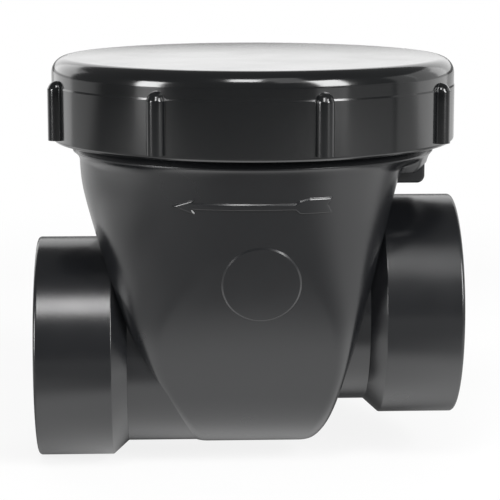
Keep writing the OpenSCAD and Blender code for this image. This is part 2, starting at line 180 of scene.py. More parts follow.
def tube(r, from_x, to_x, z, flip=False):
    """Round wall along X at height z: the angle runs round the axis and the other parameter along it."""
    x = np.linspace(from_x, to_x, TUBE_STEPS)[:, None]
    angle = np.linspace(0, 2 * math.pi, ROUND_STEPS)[None, :]
    points = np.stack([x + 0 * angle, r * np.cos(angle) + 0 * x, z + r * np.sin(angle) + 0 * x], -1)
    return grid(points, flip)


def add_piece(name, surfaces, body, material, crease=35):
    """One object from surfaces in mm: points that coincide to 0.001 mm become one, and edges sharper than
    crease, in degrees, stay sharp."""
    shift = np.cumsum([0] + [len(p) for p, f in surfaces[:-1]])
    points = np.concatenate([p for p, f in surfaces])
    faces = np.concatenate([f + s for (p, f), s in zip(surfaces, shift)])
    _, first, index = np.unique(np.round(points, 3), axis=0, return_index=True, return_inverse=True)
    faces = index.reshape(-1)[faces]
    faces = faces[(faces[:, 0] != faces[:, 1]) & (faces[:, 1] != faces[:, 2]) & (faces[:, 2] != faces[:, 0])]
    used, faces = np.unique(faces, return_inverse=True)
    points = points[first][used] * MM
    mesh = bpy.data.meshes.new(name)
    mesh.vertices.add(len(points))
    mesh.vertices.foreach_set("co", points.astype(np.float32).ravel())
    mesh.loops.add(faces.size)
    mesh.loops.foreach_set("vertex_index", faces.ravel().astype(np.int32))
    mesh.polygons.add(faces.size // 3)
    mesh.polygons.foreach_set("loop_start", np.arange(0, faces.size, 3, dtype=np.int32))
    mesh.polygons.foreach_set("use_smooth", np.ones(faces.size // 3, bool))
    mesh.update()
    mesh.validate()
    mesh.set_sharp_from_angle(angle=math.radians(crease))
    piece = bpy.data.objects.new(name, mesh)
    bpy.context.scene.collection.objects.link(piece)
    mesh.materials.append(material)
    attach(piece, body)
    return piece


def linear(hex_colour):
    """sRGB hex colour as linear red, green, blue and alpha."""
    c = np.array([int(hex_colour[i:i + 2], 16) for i in (1, 3, 5)]) / 255
    return (*np.where(c <= 0.04045, c / 12.92, ((c + 0.055) / 1.055) ** 2.4).tolist(), 1.0)


def empty_tree(owner):
    """Node tree of a material or a world, with nothing in it."""
    owner.use_nodes = True
    owner.node_tree.nodes.clear()
    return owner.node_tree


def node(tree, kind, inputs=None, **settings):
    """Adds a shader node: settings are its properties, and inputs its values, or the sockets linked to
    them."""
    made = tree.nodes.new(kind)
    for key, value in settings.items():
        setattr(made, key, value)
    for key, value in (inputs or {}).items():
        if isinstance(value, bpy.types.NodeSocket):
            tree.links.new(value, made.inputs[key])
        else:
            made.inputs[key].default_value = value
    return made


def moulded_abs(name, tone, pale, rough, peel):
    """Black ABS from a polished mould: a deep grey-black skin with a clear gloss, slow drifts of tone and
    gloss from the flow of the melt (about 40 mm), and a faint orange peel (about 1.5 mm) that breaks up the
    reflections."""
    flow_size, peel_size, peel_depth, gloss_drift = 40 * MM, 1.5 * MM, 0.02 * MM, 0.15
    material = bpy.data.materials.new(name)
    tree = empty_tree(material)
    place = node(tree, "ShaderNodeTexCoord").outputs["Object"]
    flow = node(tree, "ShaderNodeTexNoise", {"Vector": place, "Scale": 1 / flow_size, "Detail": 2.0})
    skin = node(tree, "ShaderNodeTexNoise", {"Vector": place, "Scale": 1 / peel_size, "Detail": 2.0})
    colour = node(tree, "ShaderNodeMix", {"Factor": flow.outputs["Fac"], "A": linear(tone),
                                          "B": linear(pale)}, data_type="RGBA")
    gloss = node(tree, "ShaderNodeMapRange", {"Value": flow.outputs["Fac"], "From Min": 0.3, "From Max": 0.7,
                                              "To Min": rough * (1 - gloss_drift),
                                              "To Max": rough * (1 + gloss_drift)})
    bump = node(tree, "ShaderNodeBump", {"Height": skin.outputs["Fac"], "Strength": peel,
                                         "Distance": peel_depth})
    shader = node(tree, "ShaderNodeBsdfPrincipled", {"Base Color": colour.outputs["Result"],
                                                     "Roughness": gloss.outputs["Result"],
                                                     "Normal": bump.outputs["Normal"], "IOR": 1.53})
    node(tree, "ShaderNodeOutputMaterial", {"Surface": shader.outputs["BSDF"]})
    return material


body_abs = moulded_abs("moulded_black_abs", "#111214", "#17181a", 0.24, 0.2)
seat_x = float(in_reach(np.array(INLET_RISE))) - WALL - SEAT_STAND
seat_cos, seat_sin = math.cos(IN_HIGH_LEAN), math.sin(IN_HIGH_LEAN)
pin_z = NECK_R / seat_cos + PIN_RISE
POCKET = dict(half=24.4, low=pin_z - 3.35, high=pin_z + 10.6, deep=SEAT_STAND * seat_cos, back=20.0)


def seat_frame(p):
    """(depth up the inlet, height up the leaning seat) of points p, from the middle of the seat's face."""
    x, z = p[:, 0] - CAP_X - seat_x, p[:, 2] - INLET_RISE
    return x * seat_cos - z * seat_sin, x * seat_sin + z * seat_cos


def behind_seat(p):
    """Above zero up the inlet from the back of the seat ring."""
    return seat_frame(p)[0] - SEAT_T


def loft(inset, flip=False):
    """Chamber wall: the outline at each height, from the line of the trough's bottom to the top edge."""
    r = TROUGH_R - inset
    z = np.concatenate([-r * np.cos(np.linspace(0, math.pi / 2 - SIDE_LEAN, TROUGH_STEPS)[:-1]),
                        np.linspace(-r * math.sin(SIDE_LEAN), CHAMBER_TOP, WALL_STEPS)])[:, None]
    return grid(outline(z, np.linspace(0, 4, ROUND_STEPS)[None, :], inset), flip)


def off_outlet(p, r):
    """Distance outside the outlet's round of radius r, on the outlet's side of the cap."""
    return np.maximum(np.hypot(p[:, 1], p[:, 2]) - r, p[:, 0] - CAP_X)


def off_inlet(p, r):
    """Distance outside the inlet's round of radius r, on the inlet's side of the cap."""
    return np.maximum(np.hypot(p[:, 1], p[:, 2] - INLET_RISE) - r, CAP_X - p[:, 0])


def off_pocket(p):
    """Distance outside the flat recess that the hinge bracket lies in: the largest step past one of its
    sides."""
    depth, height = seat_frame(p)
    past_side = np.abs(p[:, 1]) - POCKET["half"]
    past_end = np.abs(height - (POCKET["low"] + POCKET["high"]) / 2) - (POCKET["high"] - POCKET["low"]) / 2
    past_face = np.maximum(depth - POCKET["deep"], -POCKET["back"] - depth)
    return np.maximum(np.maximum(past_side, past_end), past_face)


def off_necks(p):
    """Above zero outside both necks, or less than the overrun inside them."""
    return np.minimum(off_outlet(p, NECK_R - OVERRUN), off_inlet(p, NECK_R - OVERRUN))


def off_ways(p):
    """Above zero outside the outlet's bore, the inlet's throat and the bracket's recess."""
    return np.minimum(np.minimum(off_outlet(p, BORE_R), off_inlet(p, NECK_R)), off_pocket(p))


rim_turn = np.linspace(0, 4, ROUND_STEPS)
rim = np.stack([outline(np.array(CHAMBER_TOP), rim_turn, inset) for inset in (0, WALL)])
chamber_surfaces = [
    trimmed(loft(0), off_necks),
    trimmed(loft(WALL, True), off_ways),
    grid(rim, True),
    trimmed(tube(NECK_R, HUB_L, CAP_X, 0), outside_wall),
    trimmed(tube(NECK_R, CAP_X, BODY_L - HUB_L, INLET_RISE), outside_wall),
    trimmed(tube(BORE_R, HUB_L, CAP_X, 0, True), lambda p: beyond(p, WALL)),
    trimmed(tube(NECK_R, CAP_X, BODY_L, INLET_RISE),
            lambda p: np.minimum(OVERRUN - beyond(p, WALL), behind_seat(p))),
    trimmed(tube(BORE_R, CAP_X, BODY_L - HUB_L, INLET_RISE, True), behind_seat),
]
chamber = add_piece("chamber_skin", chamber_surfaces, "housing", body_abs)
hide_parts("chamber_body")

# Lug and collar's underside: on the inlet side the round collar hangs over the chamber's flat wall, on a
# short cone that grows out of the wall. Below it is a shelf with a rounded lower edge, moulded in one with
# the chamber.
LUG_W, LUG_H, LUG_REACH, LUG_ROUND, LUG_EDGE = 44.0, 9.0, 77.0, 3.5, 1.2
LUG_BACK, LUG_BACK_ROUND, LUG_EDGE_STEPS = 60.5, 0.3, 7
COLLAR_DROP, COLLAR_TUCK, CONE_IN, CONE_ROUND = 3.0, 2.2, 60.0, 1.0
# A step under the collar up to this wide is blended into the wall, and the cone lies this far behind the
# wall there
STEP_MOST, CONE_TUCK = 4.5, 0.4
# Points round all that turns about the cap's axis
TURN_STEPS = 361
full_turn = np.linspace(0, 2 * math.pi, TURN_STEPS)


def edge_at(z):
    """(angle, radius) about the cap's axis of the chamber's outline at height z."""
    p = outline(np.array(z), np.linspace(0, 4, TURN_STEPS), 0) - (CAP_X, 0, 0)
    return np.arctan2(p[:, 1], p[:, 0]), np.hypot(p[:, 0], p[:, 1])


def rounded(corners, radii, steps=8, support=0.5):
    """Line through corners with each corner replaced by an arc of its radius. The arc starts at radius over
    the tangent of half the corner's angle, and a point at support beyond each arc end keeps the flats
    flat."""
    corners = np.array(corners, float)
    line = [corners[0]]
    for before, here, after, r in zip(corners[:-2], corners[1:-1], corners[2:], radii):
        u, v = (before - here) / np.linalg.norm(before - here), (after - here) / np.linalg.norm(after - here)
        half = math.acos(np.clip(u @ v, -1, 1)) / 2
        start = r / math.tan(half)
        middle = here + (u + v) / np.linalg.norm(u + v) * r / math.sin(half)
        first, last = here + u * start - middle, here + v * start - middle
        turn = math.pi - 2 * half
        t = np.linspace(0, 1, steps + 1)[:, None]
        arc = (np.sin((1 - t) * turn) * first + np.sin(t * turn) * last) / math.sin(turn)
        line += [here + u * (start + support), *(middle + arc), here + v * (start + support)]
    return np.array(line + [corners[-1]])


def lug_section(inset):
    """Closed loop of the lug's section in X and Z, drawn in by inset along its free sides."""
    back, reach, low = CAP_X + LUG_BACK, CAP_X + LUG_REACH - inset, CHAMBER_TOP - LUG_H + inset
    line = rounded([(back, CHAMBER_TOP), (back, low), (reach, low), (reach, CHAMBER_TOP)],
                   [LUG_BACK_ROUND, LUG_ROUND - inset])
    return np.concatenate([line, line[:1]])


def about_cap(r, z, angle):
    """Points at radius r and height z, each turned by its angle about the cap's axis."""
    r, z, angle = np.broadcast_arrays(r, z, angle)
    return np.stack([CAP_X + r * np.cos(angle), r * np.sin(angle), z], -1)


lug_turn = np.linspace(0, math.pi / 2, LUG_EDGE_STEPS)
lug_y = np.concatenate([LUG_W / 2 - LUG_EDGE * (1 - np.cos(lug_turn)), [0.0]])
lug_inset = np.concatenate([LUG_EDGE * (1 - np.sin(lug_turn)), [0.0]])
lug_half = np.stack([np.insert(lug_section(inset), 1, -y, axis=1) for y, inset in zip(lug_y, lug_inset)])
lug_loops = np.concatenate([lug_half, lug_half[-2::-1] * (1, -1, 1)])
lug_ends = [np.stack([loop, loop.mean(0) + 0 * loop]) for loop in (lug_loops[0], lug_loops[-1])]
edge_angle, edge_r = edge_at(CHAMBER_TOP)
collar_gap = np.interp(full_turn, edge_angle, COLLAR_R - edge_r, period=2 * math.pi)
collar_blend = smooth(2 - collar_gap / STEP_MOST)
cone_low = CHAMBER_TOP - COLLAR_DROP
cone_line = rounded([(CONE_IN, cone_low), (COLLAR_R - COLLAR_TUCK, cone_low), (COLLAR_R, CHAMBER_TOP)],
                    [CONE_ROUND])
cone_r = cone_line[:, :1] - collar_blend * (collar_gap + CONE_TUCK)
collar_cone = trimmed(grid(about_cap(cone_r, cone_line[:, 1:], full_turn)), lambda p: beyond(p, WALL / 2))
add_piece("collar_lug", [grid(lug_loops), grid(lug_ends[0], True), grid(lug_ends[1]), collar_cone],
          "housing", body_abs)

# Flow arrow and round pad: plain raised marks on the front wall, moulded with it and under a millimetre
# proud. Their edges are bevelled so that the mould can leave them, and the bevels catch the light from
# above.
ARROW_Z, ARROW_RISE, MARK_SINK, MARK_BEVEL, MARK_CREASE = 76.0, 0.8, 0.25, 1.15, 60
ARROW = np.array([(-37.5, -0.2), (-27.9, 3.2), (-29.2, 1.35), (15.2, 1.35), (17.0, 2.5), (21.0, 3.6),
                  (31.0, 3.6), (29.2, 0.3), (31.0, -3.2), (17.2, -3.2), (15.2, -1.35), (-29.2, -1.35),
                  (-27.9, -3.4)])
PAD_X, PAD_Z, PAD_R, PAD_RISE, PAD_STEPS = 1.2, 40.0, 17.3, 0.6, 181
# Rows of points as from, to and count: along and up the arrow, and out over the pad's flat and its edge
ARROW_ALONG, ARROW_UP = (-39, 32.5, 287), (-4.6, 4.8, 48)
PAD_FLAT, PAD_EDGE = (0, PAD_R - 0.7, 24), (PAD_R - 0.6, PAD_R + 0.5, 12)


def front(x, z):
    """Y of the front wall at x from the cap's axis and at height z, on the straight part or the oval
    corner."""
    a, b, ex, ey = outline_sizes(z, x < 0, 0)
    past = np.clip((np.abs(x) - (a - ex)) / ex, 0, 1)
    return -(b - ey + ey * np.sqrt(1 - past ** 2))


def inside_line(x, z, corners):
    """Signed distance to a closed line of corners, above zero inside: the nearest edge, with the sign from
    how many edges a ray to the right crosses."""
    p, q = corners[:, None, None], np.roll(corners, -1, 0)[:, None, None]
    d = q - p
    s = np.stack([x, z], -1)[None] - p
    t = np.clip((s * d).sum(-1) / (d * d).sum(-1), 0, 1)
    near = np.linalg.norm(s - t[..., None] * d, axis=-1).min(0)
    above = (p[..., 1] > z) != (q[..., 1] > z)
    cross = p[..., 0] + (z - p[..., 1]) * d[..., 0] / np.where(d[..., 1] == 0, TINY, d[..., 1])
    return np.where(((above & (x < cross)).sum(0) % 2) == 1, near, -near)


def relief(x, z, height):
    """Front wall raised by height along its outward lean."""
    y = front(x, z) - height * math.cos(SIDE_LEAN)
    return np.stack([CAP_X + x, y, z - height * math.sin(SIDE_LEAN)], -1)


arrow_x, arrow_z = np.meshgrid(np.linspace(*ARROW_ALONG), np.linspace(*ARROW_UP))
arrow_share = smooth(inside_line(arrow_x, arrow_z, ARROW) / MARK_BEVEL + 0.5)
arrow_height = -MARK_SINK + (ARROW_RISE + MARK_SINK) * arrow_share
add_piece("flow_arrow", [grid(relief(arrow_x, ARROW_Z + arrow_z, arrow_height))],
          "housing", body_abs, MARK_CREASE)

pad_r, pad_angle = np.meshgrid(np.concatenate([np.linspace(*PAD_FLAT), np.linspace(*PAD_EDGE)]),
                               np.linspace(0, 2 * math.pi, PAD_STEPS), indexing="ij")
pad_height = -MARK_SINK + (PAD_RISE + MARK_SINK) * np.clip((PAD_R - pad_r) / MARK_BEVEL + 0.5, 0, 1)
pad_points = relief(PAD_X + pad_r * np.cos(pad_angle), PAD_Z + pad_r * np.sin(pad_angle), pad_height)
add_piece("round_pad", [grid(pad_points, True)], "housing", body_abs, MARK_CREASE)

# Hubs: the two sockets for drain pipe, welded on to the necks. Each has a rounded mouth, a straight outside
# with a chamfer down to its neck, and a bore that ends in a stop for the pipe.
HUB_R, SOCKET_R, SOCKET_DEPTH, HUB_STRAIGHT, HUB_ROUND = 50.8, 44.6, 31.75, 34.5, 1.6
WELD_ROUND, STOP_ROUND, MOUTH_ROUND, CHAMFER_ROUND = 0.3, 0.4, 0.8, 0.8
HUB_STEPS = 289
# The closed section starts and ends here, on the welded face
SECTION_START = (HUB_L, BORE_R + 2)


def turned_x(line, z, forward):
    """Surface of revolution about X at height z: line holds (distance from the mouth, radius), and the
    mouth is at X = 0 or, facing forward, at the far end of the body."""
    angle = np.linspace(0, 2 * math.pi, HUB_STEPS)[None, :]
    x, r = line[:, :1], line[:, 1:]
    place = BODY_L - x if forward else x
    return grid(np.stack([place + 0 * angle, r * np.cos(angle), z + r * np.sin(angle)], -1), forward)


hub_line = rounded([SECTION_START, (HUB_L, BORE_R), (SOCKET_DEPTH, BORE_R), (SOCKET_DEPTH, SOCKET_R),
                    (0, SOCKET_R), (0, HUB_R), (HUB_STRAIGHT, HUB_R), (HUB_L, NECK_R), SECTION_START],
                   [WELD_ROUND, STOP_ROUND, STOP_ROUND, MOUTH_ROUND, HUB_ROUND, CHAMFER_ROUND, WELD_ROUND],
                   support=0.3)
for hub_name, hub_node, height, forward in (("outlet_socket_hub", "outlet_hub", 0.0, False),
                                            ("inlet_socket_hub", "inlet_hub", INLET_RISE, True)):
    hub = add_piece(hub_name, [trimmed(turned_x(hub_line, height, forward), outside_wall)],
                    "housing", body_abs)
    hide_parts(hub_node)

# Access neck: the round collar and threaded neck welded on the chamber, with a floor plate cut to the
# chamber's oval. Its collar flares out of the chamber's wall, and its thread is a low right-hand ridge that
# the cap's own runs under.
ACCESS_R, ACCESS_OUT_R, NECK_FLOOR, ACCESS_TOP = 72.0, 80.5, 4.0, 127.3
FLANGE_OUT, FLANGE_LOW, FLANGE_TOP, NECK_ROOT = 2.6, 92.5, 93.1, 4.0
LIP_LOW_ROUND, LIP_TOP_ROUND, ROOT_ROUND, RIM_ROUND, RIM_H = 0.2, 0.25, 0.5, 0.8, 2.0
FLARE_ROWS = 11
# The wall's lean at its top is taken over this height
LEAN_DROP = 0.5
PITCH, RIDGE_W, RIDGE_FLANK, RIDGE_END = 5.0, 2.0, 0.7, 1.0
NECK_RIDGE, THREAD_LOW, THREAD_STEP = 2.7, 99.0, 0.3


def turned_z(line, flip=False):
    """Surface of revolution about the cap's axis: line holds (radius, height)."""
    return grid(about_cap(line[:, :1], line[:, 1:], full_turn), flip)


def ridge(angle, z, low, high, phase):
    """Height of a screw ridge from 0 to 1: a trapezium along Z that repeats every pitch, climbs one pitch a
    turn and fades out over half a pitch at its low and high ends."""
    wave = np.abs((z / PITCH - angle / (2 * math.pi) + phase + 0.5) % 1 - 0.5) * PITCH
    crest = np.clip((RIDGE_W / 2 + RIDGE_FLANK / 2 - wave) / RIDGE_FLANK, 0, 1)
    ends = np.clip((z - low) / (PITCH / 2), 0, 1) * np.clip((high - z) / (PITCH / 2), 0, 1)
    return crest * ends


def threaded(r, low, high, size, phase, flip=False):
    """Round wall about the cap's axis whose radius r changes by size times the ridge at each angle and
    height."""
    angle, z = np.meshgrid(full_turn, np.linspace(low, high, int((high - low) / THREAD_STEP)))
    radius = r + size * ridge(angle, z, low + RIDGE_END, high - RIDGE_END, phase)
    return grid(about_cap(radius, z, angle), flip)


plate_hole = outline(np.array(CHAMBER_TOP), np.linspace(0, 4, TURN_STEPS), WALL)
plate_angle = np.arctan2(plate_hole[:, 1], plate_hole[:, 0] - CAP_X)
plate_top = CHAMBER_TOP + NECK_FLOOR
plate_rows = [plate_hole, plate_hole + (0, 0, NECK_FLOOR), about_cap(ACCESS_R, plate_top, plate_angle)]
flange_r, flare_h = COLLAR_R + FLANGE_OUT, FLANGE_LOW - CHAMBER_TOP
flare_share = np.linspace(0, 1, FLARE_ROWS)
flare_z = CHAMBER_TOP + flare_share * flare_h
flare_lean = flare_h * math.tan(SIDE_LEAN)
flare_r = COLLAR_R + flare_lean * flare_share + (FLANGE_OUT - flare_lean) * flare_share ** 3
lip_line = rounded([(flare_r[-2], flare_z[-2]), (flange_r, FLANGE_LOW), (flange_r, FLANGE_TOP),
                    (ACCESS_OUT_R, FLANGE_TOP + NECK_ROOT), (ACCESS_OUT_R, THREAD_LOW)],
                   [LIP_LOW_ROUND, LIP_TOP_ROUND, ROOT_ROUND], support=0.05)
collar_line = np.concatenate([[(ACCESS_R, CHAMBER_TOP)], np.stack([flare_r, flare_z], 1)[:-2], lip_line])
# At each angle the flare starts on the wall and with the wall's own lean, and reaches the same lip
wall_lean = (edge_r - edge_at(CHAMBER_TOP - LEAN_DROP)[1]) / LEAN_DROP
collar_lean = np.interp(full_turn, edge_angle, wall_lean, period=2 * math.pi)
collar_share = np.clip((collar_line[:, 1:] - CHAMBER_TOP) / flare_h, 0, 1)
lean_change = (collar_lean - math.tan(SIDE_LEAN)) * flare_h
collar_r = collar_line[:, :1] + lean_change * (collar_share - collar_share ** 3)
collar_r[1:] -= collar_blend * collar_gap * (1 - collar_share[1:] ** 2) ** 2
rim_line = rounded([(ACCESS_OUT_R, ACCESS_TOP - RIM_H), (ACCESS_OUT_R, ACCESS_TOP), (ACCESS_R, ACCESS_TOP),
                    (ACCESS_R, plate_top)], [RIM_ROUND, RIM_ROUND])
neck_surfaces = [grid(about_cap(collar_r, collar_line[:, 1:], full_turn)), turned_z(rim_line),
                 grid(np.stack(plate_rows), True),
                 threaded(ACCESS_OUT_R, THREAD_LOW, ACCESS_TOP - RIM_H, NECK_RIDGE, 0.0)]
neck = add_piece("threaded_neck", neck_surfaces, "housing", body_abs)
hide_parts("access_neck")

# Seat ring and hinge bracket: moulded ABS pieces inside the chamber, welded and screwed to the inlet wall.
# They keep the shape of their solids, with the duller skin of a piece that is not polished.
inner_abs = moulded_abs("satin_black_abs", "#202124", "#292a2d", 0.38, 0.5)


def dress(names, material):
    """Gives CAD nodes a material in place of their own, and the slot that goes with it."""
    for name in names:
        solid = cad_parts[name]
        solid.data.materials.clear()
        solid.data.materials.append(material)


dress(("seat_ring", "hinge_bracket"), inner_abs)


# Hinge pin, clips and screws: stainless steel, turned on a lathe. The pin lies in the bracket's two ears
# with a clip at each end, two screws hold the bracket to the inlet wall, and six hold the seal's retainer
# to the flapper.
def turned_steel(name, tone, pale):
    """Stainless steel from a lathe: grey metal with tool rings, drawn coarser than real so that they show,
    and a little drift of tone. The wave turns one radian over wave_size, so that a ring is about 2.5 mm
    wide."""
    wave_size, wave_turn, drift_size, ring_depth = 0.4 * MM, 20, 6 * MM, 0.02 * MM
    material = bpy.data.materials.new(name)
    tree = empty_tree(material)
    place = node(tree, "ShaderNodeTexCoord").outputs["Object"]
    rings = node(tree, "ShaderNodeTexWave", {"Vector": place, "Scale": 1 / wave_size / wave_turn,
                                             "Distortion": 1.0, "Detail": 2.0}, bands_direction="Y")
    drift = node(tree, "ShaderNodeTexNoise", {"Vector": place, "Scale": 1 / drift_size})
    colour = node(tree, "ShaderNodeMix", {"Factor": drift.outputs["Fac"], "A": linear(tone),
                                          "B": linear(pale)}, data_type="RGBA")
    gloss = node(tree, "ShaderNodeMapRange", {"Value": rings.outputs["Fac"], "To Min": 0.26, "To Max": 0.36})
    bump = node(tree, "ShaderNodeBump", {"Height": rings.outputs["Fac"], "Strength": 0.2,
                                         "Distance": ring_depth})
    shader = node(tree, "ShaderNodeBsdfPrincipled", {"Base Color": colour.outputs["Result"], "Metallic": 1.0,
                                                     "Roughness": gloss.outputs["Result"],
                                                     "Normal": bump.outputs["Normal"]})
    node(tree, "ShaderNodeOutputMaterial", {"Surface": shader.outputs["BSDF"]})
    return material


steel = turned_steel("turned_stainless_steel", "#b4b6b8", "#c8cacb")
dress(("bracket_screws", "hinge_pin", "pin_clips", "retainer_screws"), steel)

# Flapper and seal retainer: the moulded ABS gate that hangs on the pin, and the plate that is screwed to it
# to grip the rubber ring. They have the same duller skin as the seat.
dress(("flapper", "seal_retainer"), inner_abs)


# Flapper seal and cap gasket: moulded EPDM rubber rings. The seal is gripped between the flapper and its
# retainer, and the gasket lies in the cap's groove.
def moulded_rubber(name, tone, pale):
    """EPDM rubber: nearly black and matt, with a pale bloom in patches of about 8 mm and a grain of about
    0.3 mm that give it a dusty look."""
    bloom_size, grain_size, grain_depth = 8 * MM, 0.3 * MM, 0.03 * MM
    material = bpy.data.materials.new(name)
    tree = empty_tree(material)
    place = node(tree, "ShaderNodeTexCoord").outputs["Object"]
    bloom = node(tree, "ShaderNodeTexNoise", {"Vector": place, "Scale": 1 / bloom_size, "Detail": 4.0})
    grain = node(tree, "ShaderNodeTexNoise", {"Vector": place, "Scale": 1 / grain_size})
    colour = node(tree, "ShaderNodeMix", {"Factor": bloom.outputs["Fac"], "A": linear(tone),
                                          "B": linear(pale)}, data_type="RGBA")
    bump = node(tree, "ShaderNodeBump", {"Height": grain.outputs["Fac"], "Strength": 0.4,
                                         "Distance": grain_depth})
    shader = node(tree, "ShaderNodeBsdfPrincipled", {"Base Color": colour.outputs["Result"], "Roughness": 0.7,
                                                     "Normal": bump.outputs["Normal"], "IOR": 1.5})
    node(tree, "ShaderNodeOutputMaterial", {"Surface": shader.outputs["BSDF"]})
    return material


rubber = moulded_rubber("moulded_epdm_rubber", "#131314", "#1e1e1f")
dress(("flapper_seal", "cap_gasket"), rubber)

# Screw cap: the access cap, a deep glossy ABS lid with half-round grip ribs, a fine ledge level with the
# ribs' tops and a chamfered lower edge. Inside it has the screw ridge and the groove for the gasket.
CAP_R, CAP_IN_R, CAP_LOW, CAP_TOP, CROWN = 92.0, 85.0, 97.1, 134.8, 0.5
SHOULDER_R, LEDGE, LEDGE_Z, LEDGE_H, LEDGE_ROUND = 7.0, 0.25, 122.25, 0.8, 0.08
SKIRT_CHAMFER, SKIRT_ROUND, SKIRT_IN_ROUND = 1.2, 1.2, 0.4
RIB_COUNT, RIB_TURN = 8, math.radians(16.5)
RIB_R, RIB_OUT, RIB_FOOT, RIB_H, RIB_ROOT = 4.05, 0.1, 2.2, 26.5, 0.35
CAP_UNDER, UNDER_ROUND, CAP_RIDGE = 129.6, 1.0, 2.8
GROOVE_IN, GROOVE_OUT, GROOVE_TOP, GROOVE_ROUND = 72.15, 80.35, 130.6, 0.2
# Height of the plain bore below and above the cap's thread
PLAIN_H = 2.0
# Rows over the crown, and over a rib's bulge, its root, its side and round its top
CROWN_ROWS, BULGE_ROWS, ROOT_ROWS, SIDE_ROWS, OVER_ROWS = 16, 14, 9, 6, 25
cap_abs = moulded_abs("polished_black_abs", "#0e0f10", "#131415", 0.13, 0.15)
flat_r = CAP_R - LEDGE - SHOULDER_R
crown_r = np.linspace(flat_r, 0, CROWN_ROWS)
crown_line = np.stack([crown_r, CAP_TOP + CROWN * (1 - (crown_r / flat_r) ** 2)], 1)
skirt_line = rounded([(CAP_IN_R, CAP_LOW + PLAIN_H), (CAP_IN_R, CAP_LOW), (CAP_R - SKIRT_CHAMFER, CAP_LOW),
                      (CAP_R, CAP_LOW + SKIRT_CHAMFER), (CAP_R, LEDGE_Z), (CAP_R - LEDGE, LEDGE_Z + LEDGE_H),
                      (CAP_R - LEDGE, CAP_TOP), (flat_r, CAP_TOP)],
                     [SKIRT_IN_ROUND, SKIRT_ROUND, SKIRT_ROUND, LEDGE_ROUND, LEDGE_ROUND, SHOULDER_R],
                     steps=10, support=0.12)[:-1]
under_line = rounded([(CAP_IN_R, CAP_UNDER - PLAIN_H), (CAP_IN_R, CAP_UNDER), (GROOVE_OUT, CAP_UNDER),
                      (GROOVE_OUT, GROOVE_TOP), (GROOVE_IN, GROOVE_TOP), (GROOVE_IN, CAP_UNDER),
                      (0, CAP_UNDER)], [UNDER_ROUND, *[GROOVE_ROUND] * 4], steps=4, support=0.2)


def rib(turn):
    """Grip rib at an angle round the cap: its section is swept up one side, round the top and down the
    other. Across it, at a distance d from the middle line, the height is a circle of radius RIB_R, then a
    hollow root of radius RIB_ROOT that touches both the circle and the skirt."""
    spread = math.sqrt((RIB_R + RIB_ROOT) ** 2 - (RIB_ROOT - RIB_OUT) ** 2)
    meet = spread * RIB_R / (RIB_R + RIB_ROOT)
    bulge = np.linspace(0, math.asin(meet / RIB_R), BULGE_ROWS)
    root = np.linspace(meet, spread, ROOT_ROWS)[1:]
    d = np.concatenate([RIB_R * np.sin(bulge), root, [spread + OVERRUN]])[:, None]
    h = np.concatenate([RIB_OUT + RIB_R * np.cos(bulge),
                        RIB_ROOT - np.sqrt(RIB_ROOT ** 2 - (spread - root) ** 2), [-OVERRUN]])[:, None]
    side, over = np.linspace(0, RIB_H - RIB_R, SIDE_ROWS), np.linspace(math.pi, 0, OVER_ROWS)[1:-1]
    along = np.concatenate([side, side[-1] + 0 * over, side[::-1]])
    across = np.concatenate([-np.ones(SIDE_ROWS), np.cos(over), np.ones(SIDE_ROWS)])
    up = np.concatenate([np.zeros(SIDE_ROWS), np.sin(over), np.zeros(SIDE_ROWS)])
    z = CAP_LOW + RIB_FOOT + along + d * up
    skirt = CAP_R - LEDGE * np.clip((z - LEDGE_Z) / LEDGE_H, 0, 1)
    points = about_cap(skirt + h, z, turn + d * across / CAP_R)
    edge = np.concatenate([points[::-1, 0], points[1:, -1]])
    inner = about_cap(CAP_R - OVERRUN, edge[:, 2], np.arctan2(edge[:, 1], edge[:, 0] - CAP_X))
    return [grid(points), grid(np.stack([edge, inner]), True)]


cap_surfaces = [turned_z(skirt_line), turned_z(crown_line), turned_z(under_line, True),
                threaded(CAP_IN_R, CAP_LOW + PLAIN_H, CAP_UNDER - PLAIN_H, -CAP_RIDGE, 0.5, True)]
for i in range(RIB_COUNT):
    cap_surfaces += rib(RIB_TURN + i * 2 * math.pi / RIB_COUNT)
cap = add_piece("ribbed_screw_cap", cap_surfaces, "cap", cap_abs)
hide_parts("screw_cap")

# Studio: a sheet of white paper under the outlet hub, with soft lamps in front and light panels behind and
# beside it. The paper is white to the camera and keeps the object's shadow. What the black skin mirrors of
# it is dimmer, but for painted light: a glow painted into the paper towards the back and four soft painted
# pools of light, which no lamp casts and which also light the object. Lengths are in metres.
FLOOR_Z, FLOOR_HALF = -HUB_R * MM, 6.0
PAPER_MOTTLE = 30 * MM
# Painted glow of the paper towards the back, cast by no lamp: from and to in Y, and its level
BACK_FROM, BACK_TO, BACK_LEVEL = 0.1, 0.45, 1.05
# Painted pools of light that the paper glows with, cast by no lamp: centre, reach and level
PAINTED_POOLS = (((0.1, -0.062), (0.18, 0.07), 2.0),
         ((-0.28, 0.1), (0.25, 0.26), 1.6),
         ((-0.12, -0.12), (0.2, 0.1), 0.6),
         ((0.38, -0.08), (0.24, 0.2), 1.6))
# Share of the paper's own light beside lamp light: as mirrored, and to the camera near the object and far
# from it
GLOW_MIRRORED, GLOW_NEAR, GLOW_FAR = 0.6, 0.84, 1.0
NEAR_END, FAR_START = 0.2, 0.8
SKY_LEVEL = 0.16
LAMP_AIM, PANEL_AIM = (CAP_X * MM, -0.05, 0.10), (0.1, 0.0, 0.10)
